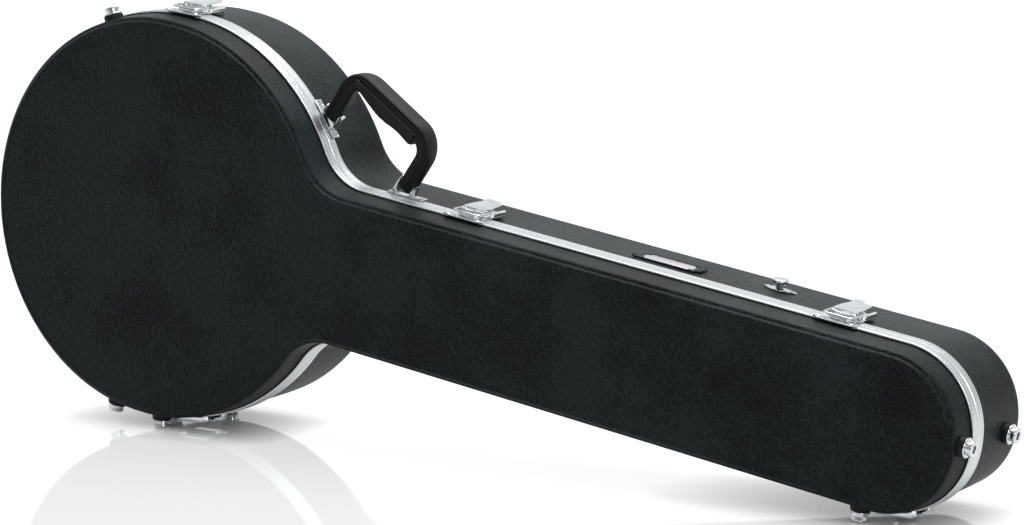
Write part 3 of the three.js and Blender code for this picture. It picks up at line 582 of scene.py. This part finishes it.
# Each surface: its material and a name
black_abs = (pebbled_abs(), "black_abs")
aluminium = (satin_aluminium(), "satin_aluminium")
chrome_finish = chrome_plate()
chrome = (chrome_finish, "chrome_hardware")
rubber = (moulded_rubber(), "black_rubber")
plush = (plush_pile(), "plush_lining")
steel = (plated_steel(), "plated_steel")


# The outline, as the moves of a profile that starts on the neck's upper wall


def sweep_round_outline():
    """Carry the selected profile once round the case, back to where it started."""
    quarter = 90
    side_turn = quarter - fillet_start
    neck_run = corner_place - fillet_place
    moves = [
        ("run", (fillet_place - sweep_start, 0)),
        ("turn", (fillet_place, fillet_height), -side_turn),
        ("turn", (half_stretch, 0), side_turn),
        ("run", (-BODY_STRETCH, 0)),
        ("turn", (-half_stretch, 0), 2 * quarter),
        ("run", (BODY_STRETCH, 0)),
        ("turn", (half_stretch, 0), side_turn),
        ("turn", (fillet_place, -fillet_height), -side_turn),
        ("run", (neck_run, 0)),
        ("turn", (corner_place, -corner_height), quarter),
        ("run", (0, 2 * corner_height)),
        ("turn", (corner_place, corner_height), quarter),
        ("run", (sweep_start - corner_place, 0)),
    ]
    for kind, target, *angle in moves:
        if kind == "run":
            step = (target[0], 0, target[1])
            bpy.ops.mesh.extrude_region_move(TRANSFORM_OT_translate={"value": step})
        else:
            steps = round(abs(angle[0]) / TURN_STEP)
            spin((target[0], 0, target[1]), angle[0], (0, 1, 0), steps)


def swept(name, profile, closed):
    """A profile of (offset, depth) pairs carried round the outline."""
    points = [Vector((sweep_start, depth, NECK_HALF_WIDTH + offset)) for offset, depth in profile]
    if closed:
        points.append(points[0])
    piece = start_at(name, points[0])
    draw(points, closed)
    sweep_round_outline()
    bpy.ops.mesh.select_all(action="SELECT")
    bpy.ops.mesh.remove_doubles(threshold=MERGE_DISTANCE)
    return piece


def close_face(piece, depth):
    """Fill the open loop at one depth, with a narrow margin round the flat face."""
    select_places(piece, lambda place: abs(place.y - depth) < MERGE_DISTANCE)
    bpy.ops.mesh.edge_face_add()
    bpy.ops.mesh.inset(thickness=FACE_INSET)


# Shells


def shell(half, depth, side):
    """One moulded half: a drafted wall, a beaded edge and a flat face."""
    profile = [(0, HALF_GAP), (-WALL_DRAFT, depth - EDGE_ROUND)]
    profile += [(offset, depth - below) for offset, below in EDGE_LINE]
    profile = [(offset, side * place) for offset, place in profile]
    piece = swept(f"{half}_moulding", profile, False)
    close_face(piece, profile[-1][1])
    finish_mesh(piece)
    modify(piece, "SOLIDIFY", thickness=SHELL_WALL, offset=-1, use_even_offset=True)
    settle(piece, case_frame)
    dress(piece, black_abs, f"{half}_shell")


shell("base", BASE_DEPTH, 1)
shell("lid", LID_DEPTH, -1)


# Valances


def valance(half, side):
    """A band with a softened edge and fine grooves along its face."""
    low = SEAT_GAP
    top = SEAT_GAP + VALANCE_WALL
    profile = [(low, HALF_GAP), (top - VALANCE_EDGE, HALF_GAP), (top, HALF_GAP + VALANCE_EDGE)]
    for place in GROOVE_PLACES:
        profile += [
            (top, place - GROOVE_HALF_WIDTH),
            (top - GROOVE_DEPTH, place - GROOVE_HALF_WIDTH / 2),
            (top - GROOVE_DEPTH, place + GROOVE_HALF_WIDTH / 2),
            (top, place + GROOVE_HALF_WIDTH),
        ]
    centre = (top - 2 * VALANCE_EDGE, VALANCE_WIDTH - 2 * VALANCE_EDGE)
    profile += arc(centre, 2 * VALANCE_EDGE, 0, 90, SMALL_ARC_STEPS)
    profile += [(low, VALANCE_WIDTH)]
    piece = swept(f"{half}_band", [(offset, side * place) for offset, place in profile], True)
    finish_mesh(piece)
    settle(piece, case_frame)
    dress(piece, aluminium, f"{half}_valance")


valance("base", 1)
valance("lid", -1)


# Linings


def lining(half, depth, wall, side):
    """Plush over foam, with a round rim and a soft corner at its floor."""
    outer = -SHELL_WALL - SEAT_GAP
    inner = outer - wall
    rim = LINING_RIM + wall / 2
    outer_floor = depth - SHELL_WALL - SEAT_GAP
    inner_floor = outer_floor - wall
    outer_corner = (outer - WALL_DRAFT - LINING_ROUND, outer_floor - LINING_ROUND)
    inner_corner = (inner - WALL_DRAFT - LINING_ROUND, inner_floor - LINING_ROUND)
    profile = arc(outer_corner, LINING_ROUND, 90, 0, ARC_STEPS)
    profile += arc((outer - wall / 2, rim), wall / 2, 0, -180, RIM_STEPS)
    profile += arc(inner_corner, LINING_ROUND, 0, 90, ARC_STEPS)
    piece = swept(f"{half}_plush", [(offset, side * place) for offset, place in profile], False)
    close_face(piece, side * outer_floor)
    close_face(piece, side * inner_floor)
    finish_mesh(piece)
    settle(piece, case_frame)
    dress(piece, plush, f"{half}_lining")


lining("base", BASE_DEPTH, BASE_LINING_WALL, 1)
lining("lid", LID_DEPTH, LID_LINING_WALL, -1)


# Pieces that keep their CAD shape with worked edges


def copy_of(node_name, name):
    """A merged copy of a CAD node, with the triangles of each flat face joined."""
    piece = frame["nodes"][node_name].copy()
    piece.data = piece.data.copy()
    piece.name = name
    piece.parent = None
    piece.matrix_world = Matrix.Identity(4)
    bpy.context.collection.objects.link(piece)
    edit(piece)
    bpy.ops.mesh.select_mode(type="VERT")
    bpy.ops.mesh.select_all(action="SELECT")
    bpy.ops.mesh.remove_doubles(threshold=MERGE_DISTANCE)
    bpy.ops.mesh.dissolve_limited(angle_limit=math.radians(FLAT_ANGLE))
    bpy.ops.object.mode_set(mode="OBJECT")
    return piece


def round_edges(piece, width, segments=2):
    """Round the sharp edges of a piece."""
    angle = math.radians(EDGE_ANGLE)
    modify(piece, "BEVEL", width=width, segments=segments, limit_method="ANGLE", angle_limit=angle)


def worked(node_name, name, edge, surface, segments=2):
    """A pressed or machined piece: the CAD shape with its edges rounded."""
    piece = copy_of(node_name, name)
    round_edges(piece, edge, segments)
    settle(piece, Matrix.Identity(4))
    dress(piece, surface, node_name)
    return piece


def combine(piece, tool, operation):
    """Join a tool to a piece or cut it away, and delete the tool."""
    modify(piece, "BOOLEAN", object=tool, operation=operation, solver="EXACT")
    bpy.data.objects.remove(tool)


def join_into(piece, other):
    """Make another mesh part of a piece."""
    pick(piece)
    other.select_set(True)
    bpy.ops.object.join()


def cut_above(piece, seat, height):
    """Cut off what stands above a height over a wall, and close the cut."""
    edit(piece)
    bpy.ops.mesh.select_all(action="SELECT")
    plane = seat @ Vector((0, 0, height))
    normal = seat.to_3x3() @ Vector((0, 0, 1))
    bpy.ops.mesh.bisect(plane_co=plane, plane_no=normal, clear_outer=True, use_fill=True)
    bpy.ops.object.mode_set(mode="OBJECT")


for part in ("body", "end"):
    for leaf in ("base", "lid"):
        worked(f"hinge_{part}_{leaf}_leaf", f"hinge_leaf_{part}_{leaf}", PRESSED_EDGE, chrome)
    worked(f"hinge_{part}_pin", f"hinge_rod_{part}", PRESSED_EDGE, steel)
worked("name_plate", "blank_plate", PRESSED_EDGE / 2, steel)
worked("name_plate_frame", "plate_surround", PRESSED_EDGE, black_abs)
worked("accessory_box", "accessory_box_plush", BOX_ROUND, plush, BOX_SEGMENTS)
worked("accessory_box_lid", "accessory_cover_plush", BOX_LID_ROUND, plush, BOX_SEGMENTS)
cradle = worked("neck_cradle", "neck_cradle_plush", CRADLE_ROUND, plush, CRADLE_SEGMENTS)


# Places on the outer wall: X runs along the wall, Y is the depth and Z points outwards


def wall_frame(x, z, angle):
    """A place on the wall at parting height, from the direction that the wall faces."""
    turn = Matrix.Rotation(math.radians(90 - angle), 4, "Y")
    return case_frame @ Matrix.Translation((x, 0, z)) @ turn


def body_place(angle):
    """The point of the round body's wall at one angle."""
    turn = math.radians(angle)
    centre = math.copysign(half_stretch, math.cos(turn))
    return centre + BODY_RADIUS * math.cos(turn), BODY_RADIUS * math.sin(turn)


def wall_fall(half, place):
    """How far the drafted wall has fallen back at a distance from the parting line."""
    depth = {"lid": LID_DEPTH, "base": BASE_DEPTH}[half]
    return WALL_DRAFT * abs(place) / (depth - EDGE_ROUND)


# Draw latches: pressed parts, with a tray wall along both sides of each plate


def tray_side(side):
    """One upright wall of a latch's tray, with its back corner rounded."""
    low = SHEET_TOP - SHEET_WALL / 4
    centre = (TRAY_END - TRAY_CORNER, TRAY_HEIGHT - TRAY_CORNER)
    outline = [(TRAY_START, low), (TRAY_START + TRAY_SLOPE, TRAY_HEIGHT)]
    outline += arc(centre, TRAY_CORNER, 90, 0, ARC_STEPS)
    outline += [(TRAY_END, low), (TRAY_START, low)]
    place = side * (LATCH_HALF_WIDTH - TRAY_WALL / 2)
    points = [Vector((place, along, height)) for along, height in outline]
    piece = start_at("tray_side", points[0])
    draw(points, closed=True)
    bpy.ops.mesh.edge_face_add()
    finish_mesh(piece)
    modify(piece, "SOLIDIFY", thickness=TRAY_WALL, offset=0)
    round_edges(piece, PRESSED_EDGE)
    piece.data.materials.append(chrome_finish)
    return piece


latch_seats = (
    wall_frame(*body_place(LATCH_BODY_ANGLE), LATCH_BODY_ANGLE),
    wall_frame(fillet_place + LATCH_FILLET_STEP, NECK_HALF_WIDTH, 90),
    wall_frame(NECK_END - LATCH_END_STEP, NECK_HALF_WIDTH, 90),
)
for number, seat in enumerate(latch_seats, 1):
    for part in ("plate", "lever", "loop", "keeper"):
        piece = worked(f"latch_{number}_{part}", f"draw_{part}_{number}", PRESSED_EDGE, chrome)
        if part == "plate":
            for side in (-1, 1):
                wall = tray_side(side)
                settle(wall, seat)
                join_into(piece, wall)


# Handle brackets: a long plate with square pressed ends, and the blades that hold the pin


def block(name, place, half_x, half_y, low, high):
    """A low block with its top face selected, open in edit mode."""
    corners = ((-1, -1), (1, -1), (1, 1), (-1, 1), (-1, -1))
    points = [Vector((place + x * half_x, BRACKET_PLACE + y * half_y, low)) for x, y in corners]
    piece = start_at(name, points[0])
    draw(points, closed=True)
    bpy.ops.mesh.edge_face_add()
    bpy.ops.mesh.extrude_region_move(TRANSFORM_OT_translate={"value": (0, 0, high - low)})
    return piece


def bracket(part, seat):
    """The CAD blades and pin, cut free of their plate, on a newly pressed plate."""
    piece = worked(f"handle_bracket_{part}", f"handle_plate_{part}", PRESSED_EDGE, chrome)
    up = (seat.to_3x3() @ Vector((0, 0, 1))).normalized()
    edit(piece)
    bpy.ops.mesh.select_all(action="SELECT")
    plane = seat @ Vector((0, 0, SHEET_TOP + RIVET_RISE))
    bpy.ops.mesh.bisect(plane_co=plane, plane_no=up, clear_inner=True, use_fill=True)
    sink = -up * (RIVET_RISE + SHEET_WALL / 4)
    bpy.ops.mesh.extrude_region_move(TRANSFORM_OT_translate={"value": sink})
    bpy.ops.object.mode_set(mode="OBJECT")

    low = SHEET_TOP - SHEET_WALL
    additions = [block("bracket_plate", 0, BRACKET_HALF_LENGTH, BRACKET_HALF_WIDTH, low, SHEET_TOP)]
    finish_mesh(additions[0])
    half_width = BRACKET_HALF_WIDTH - BRACKET_END_RIM
    top = SHEET_TOP + BRACKET_END_RISE
    for side in (-1, 1):
        place = side * BRACKET_END
        end = block("bracket_end", place, BRACKET_END_HALF, half_width, low + PRESSED_EDGE, top)
        bpy.ops.mesh.inset(thickness=BRACKET_END_RIM)
        bpy.ops.transform.translate(value=(0, 0, -BRACKET_END_RISE))
        finish_mesh(end)
        additions.append(end)
    for addition in additions:
        round_edges(addition, PRESSED_EDGE)
        addition.data.materials.append(chrome_finish)
        settle(addition, seat)
        join_into(piece, addition)


bracket("body", wall_frame(*body_place(BRACKET_BODY_ANGLE), BRACKET_BODY_ANGLE))
bracket("neck", wall_frame(fillet_place + BRACKET_FILLET_STEP, NECK_HALF_WIDTH, 90))


# Strap post: a turned button on its leaf-shaped plate


def strap_button():
    """A chromed button with a dished head and a flared foot."""
    plate = worked("strap_post", "strap_button", PRESSED_EDGE, chrome)
    top = SEAT_GAP + SHEET_WALL
    edge = POST_HEAD_EDGE
    under = POST_HEIGHT / 2
    profile = [(0, top), (POST_STEM_RADIUS * POST_FOOT_SHARE, top)]
    profile += [(POST_STEM_RADIUS, top + SHEET_WALL), (POST_STEM_RADIUS, under)]
    profile += arc((POST_HEAD_RADIUS - edge, under + 2 * edge), edge, -90, 0, SMALL_ARC_STEPS)
    profile += arc((POST_HEAD_RADIUS - edge, POST_HEIGHT - edge), edge, 0, 90, SMALL_ARC_STEPS)
    profile += [(POST_HEAD_RADIUS / 2, POST_HEIGHT - edge / 4), (0, POST_HEIGHT - edge / 2)]
    button = turned("turned_button", profile)
    fall = wall_fall("base", POST_DEPTH_PLACE - POST_PLATE_HALF_WIDTH)
    seat = wall_frame(POST_PLACE, NECK_HALF_WIDTH, 90) @ Matrix.Translation((0, POST_DEPTH_PLACE, -fall))
    button.data.materials.append(chrome_finish)
    settle(button, seat)
    cut_above(plate, seat, top + SHEET_WALL / 4)
    join_into(plate, button)


strap_button()


# Bumper feet


def foot_reach(x, z, angle):
    """How far a standing foot reaches from the wall to the floor."""
    lean = abs(math.radians(angle) - tilt + math.pi / 2)
    drop = x * math.sin(tilt) - z * math.cos(tilt)
    return (floor_distance - drop - CUP_TIP_RADIUS * math.sin(lean)) / math.cos(lean)


def bumper(place, x, z, angle, height):
    """One foot: a rubber pad on the wall and a turned, chromed cup on the pad."""
    half = place.split("_")[0]
    depth = FOOT_PLACES[half]
    seat = wall_frame(x, z, angle) @ Matrix.Translation((0, depth, 0))
    base = -wall_fall(half, depth) - PAD_SEAT
    edge = PAD_EDGE
    profile = [(0, base), (PAD_RADIUS, base)]
    profile += arc((PAD_RADIUS - edge, PAD_HEIGHT - edge), edge, 0, 90, SMALL_ARC_STEPS)
    profile += [(0, PAD_HEIGHT)]
    pad = turned(f"bumper_pad_{place}", profile)
    settle(pad, seat)
    dress(pad, rubber, f"foot_pad_{place}")

    low = PAD_HEIGHT + SEAT_GAP
    rim = CUP_FLANGE_HEIGHT / 2
    tip = CUP_TIP_EDGE
    bore = CUP_BORE_RADIUS
    profile = [(0, low), *arc((CUP_FLANGE_RADIUS - rim, low + rim), rim, -90, 80, 2 * SMALL_ARC_STEPS)]
    profile += [(CUP_WAIST_RADIUS, low + CUP_FLANGE_HEIGHT + rim / 2)]
    profile += [(CUP_WAIST_RADIUS, (low + CUP_FLANGE_HEIGHT + height) / 2)]
    profile += [(CUP_TIP_RADIUS, height - CUP_FLARE_SHARE * tip)]
    profile += arc((CUP_TIP_RADIUS - tip, height - tip), tip, 0, 90, SMALL_ARC_STEPS)
    profile += arc((bore + tip / 2, height - tip / 2), tip / 2, 90, 180, SMALL_ARC_STEPS - 1)
    profile += [(bore, height - CUP_BORE_DEPTH), (0, height - CUP_BORE_DEPTH)]
    cup = turned(f"bumper_cup_{place}", profile)
    settle(cup, seat)
    dress(cup, chrome, f"foot_cup_{place}")


for place, angle, stands in (
    ("lid_body_top", BODY_TOP_FOOT_ANGLE, False),
    ("lid_body_low", BODY_LOW_FOOT_ANGLE, False),
    ("lid_body_floor", LID_FLOOR_ANGLE, True),
    ("base_body_low", BODY_LOW_FOOT_ANGLE, False),
    ("base_body_floor", BASE_FLOOR_ANGLE, True),
):
    spot = body_place(angle)
    bumper(place, *spot, angle, foot_reach(*spot, angle) if stands else FOOT_HEIGHT)
neck_spot = (corner_place - NECK_FOOT_STEP, -NECK_HALF_WIDTH)
for half in ("lid", "base"):
    bumper(f"{half}_neck_floor", *neck_spot, -90, foot_reach(*neck_spot, -90))
    bumper(f"{half}_end", NECK_END, END_FOOT_RISES[half], 0, FOOT_HEIGHT)


# Handle


def mirrored_ring(shares):
    """A closed ring of shares from its one half, given from end to end."""
    return [*shares, *((a, -b) for a, b in reversed(shares[1:-1]))]


def handle_band(pin_span):
    """The moulded loop: two legs and a band with grooves along both sides."""
    leg = pin_span / 2
    upper = BAND_HEIGHT - BAND_CORNER
    left = [
        (-leg, -LEG_FOOT, 0, LEG_FOOT_HALF_WIDTH, LEG_FOOT_HALF_DEPTH),
        (-leg, -LEG_FOOT / 2, 0, LEG_HALF_WIDTH, LEG_HALF_DEPTH),
        (-leg, upper / 2, 0, LEG_HALF_WIDTH, LEG_HALF_DEPTH),
    ]
    for step in range(RIM_STEPS + 1):
        share = step / RIM_STEPS
        angle = 90 * share
        x = BAND_CORNER * (1 - math.cos(math.radians(angle))) - leg
        z = upper + BAND_CORNER * math.sin(math.radians(angle))
        depth = LEG_HALF_DEPTH + (BAND_HALF_DEPTH - LEG_HALF_DEPTH) * share
        left.append((x, z, angle, LEG_HALF_WIDTH, depth))
    stations = left + [(-x, z, 180 - angle, wide, deep) for x, z, angle, wide, deep in reversed(left)]

    x, z, _, wide, deep = stations[0]
    ring = [Vector((x - a * wide, b * deep, z)) for a, b in mirrored_ring(BAND_SHARES)]
    ring.append(ring[0])
    piece = start_at("handle_grip", ring[0])
    draw(ring, closed=True)
    for before, after in zip(stations, stations[1:]):
        step = (after[0] - before[0], 0, after[1] - before[1])
        centre = (after[0], 0, after[1])
        bpy.ops.mesh.extrude_region_move(TRANSFORM_OT_translate={"value": step})
        turn = {"orient_axis": "Y", "center_override": centre}
        bpy.ops.transform.rotate(value=math.radians(before[2]), **turn)
        growth = (after[3] / before[3], after[4] / before[4], 1)
        bpy.ops.transform.resize(value=growth, center_override=centre)
        bpy.ops.transform.rotate(value=-math.radians(after[2]), **turn)
    for side in (-1, 1):
        fill_loop(piece, lambda place: abs(place.z + LEG_FOOT) < MERGE_DISTANCE and place.x * side > 0)
    finish_mesh(piece)
    return piece


def grip_pad():
    """The softer pad under the band, with a swell for the fingers and a square end."""
    x, z = GRIP_UNDERSIDE[0]
    ring = [
        Vector((x, b * GRIP_HALF_DEPTH, GRIP_TOP - a * (GRIP_TOP - z)))
        for a, b in mirrored_ring(GRIP_SHARES)
    ]
    ring.append(ring[0])
    piece = start_at("grip_pad", ring[0])
    draw(ring, closed=True)
    for before, after in zip(GRIP_UNDERSIDE, GRIP_UNDERSIDE[1:]):
        bpy.ops.mesh.extrude_region_move(TRANSFORM_OT_translate={"value": (after[0] - before[0], 0, 0)})
        growth = (1, 1, (GRIP_TOP - after[1]) / (GRIP_TOP - before[1]))
        bpy.ops.transform.resize(value=growth, center_override=(after[0], 0, GRIP_TOP))
    for end, _ in (GRIP_UNDERSIDE[0], GRIP_UNDERSIDE[-1]):
        fill_loop(piece, lambda place: abs(place.x - end) < MERGE_DISTANCE)
    finish_mesh(piece)
    return piece


def handle():
    """The carrying handle, bored for the two pins that it folds on."""
    reach = BODY_RADIUS + PIN_RISE
    turn = math.radians(BRACKET_BODY_ANGLE)
    body_pin = Vector((half_stretch + reach * math.cos(turn), reach * math.sin(turn)))
    neck_pin = Vector((fillet_place + BRACKET_FILLET_STEP, NECK_HALF_WIDTH + PIN_RISE))
    middle = (body_pin + neck_pin) / 2
    slope = math.atan2(body_pin.y - neck_pin.y, neck_pin.x - body_pin.x)
    pin_span = (neck_pin - body_pin).length
    seat = case_frame @ Matrix.Translation((middle.x, BRACKET_PLACE, middle.y))
    seat = seat @ Matrix.Rotation(slope, 4, "Y")
    piece = handle_band(pin_span)
    combine(piece, grip_pad(), "UNION")
    for side in (-1, 1):
        deselect_all()
        bpy.ops.mesh.primitive_cylinder_add(
            vertices=PIN_HOLE_STEPS,
            radius=PIN_RADIUS + PIN_PLAY,
            depth=3 * LEG_HALF_WIDTH,
            location=(side * pin_span / 2, 0, 0),
            rotation=(0, math.radians(90), 0),
        )
        combine(piece, bpy.context.object, "DIFFERENCE")
    settle(piece, seat)
    dress(piece, rubber, "handle")


handle()


# Floor, camera and light
deselect_all()
bpy.ops.mesh.primitive_plane_add(size=FLOOR_SIZE)
floor = bpy.context.object
floor.name = "floor"
floor.data.materials.append(polished_floor())

camera_data = bpy.data.cameras.new("camera")
camera_data.lens = CAMERA_LENS
camera_data.sensor_width = SENSOR_WIDTH
camera_data.clip_end = 2 * FLOOR_SIZE
camera = bpy.data.objects.new("camera", camera_data)
camera.location = CAMERA_PLACE
camera.rotation_euler = [math.radians(angle) for angle in CAMERA_TURN]
bpy.context.collection.objects.link(camera)
bpy.context.scene.camera = camera


def lamp(name, place, target, size, watts):
    """A square soft lamp that faces a point."""
    data = bpy.data.lights.new(name, "AREA")
    data.shape = "SQUARE"
    data.size = size
    data.energy = watts
    made = bpy.data.objects.new(name, data)
    made.location = place
    made.rotation_euler = (Vector(target) - Vector(place)).to_track_quat("-Z", "Y").to_euler()
    bpy.context.collection.objects.link(made)


for lamp_values in LAMPS:
    lamp(*lamp_values)


def studio_light():
    """Even light, brighter from the white backdrop behind the case than from the room in front."""
    made = bpy.data.worlds.new("studio")
    made.use_nodes = True
    tree = made.node_tree
    background = tree.nodes["Background"]
    direction = add_node(tree, "ShaderNodeTexCoord").outputs["Generated"]
    facing = add_node(
        tree, "ShaderNodeVectorMath", {0: direction}, {1: BACKDROP_DIRECTION}, operation="DOT_PRODUCT"
    )
    level = ranged(tree, facing.outputs["Value"], ROOM_LEVEL, BACKDROP_LEVEL, -1.0, BACKDROP_FULL)
    path = add_node(tree, "ShaderNodeLightPath")
    seen = combined(tree, level, path.outputs["Is Camera Ray"], "MAXIMUM")
    tree.links.new(seen, background.inputs["Strength"])
    background.inputs["Color"].default_value = (1, 1, 1, 1)
    bpy.context.scene.world = made


studio_light()
bpy.context.scene.view_settings.view_transform = "Standard"
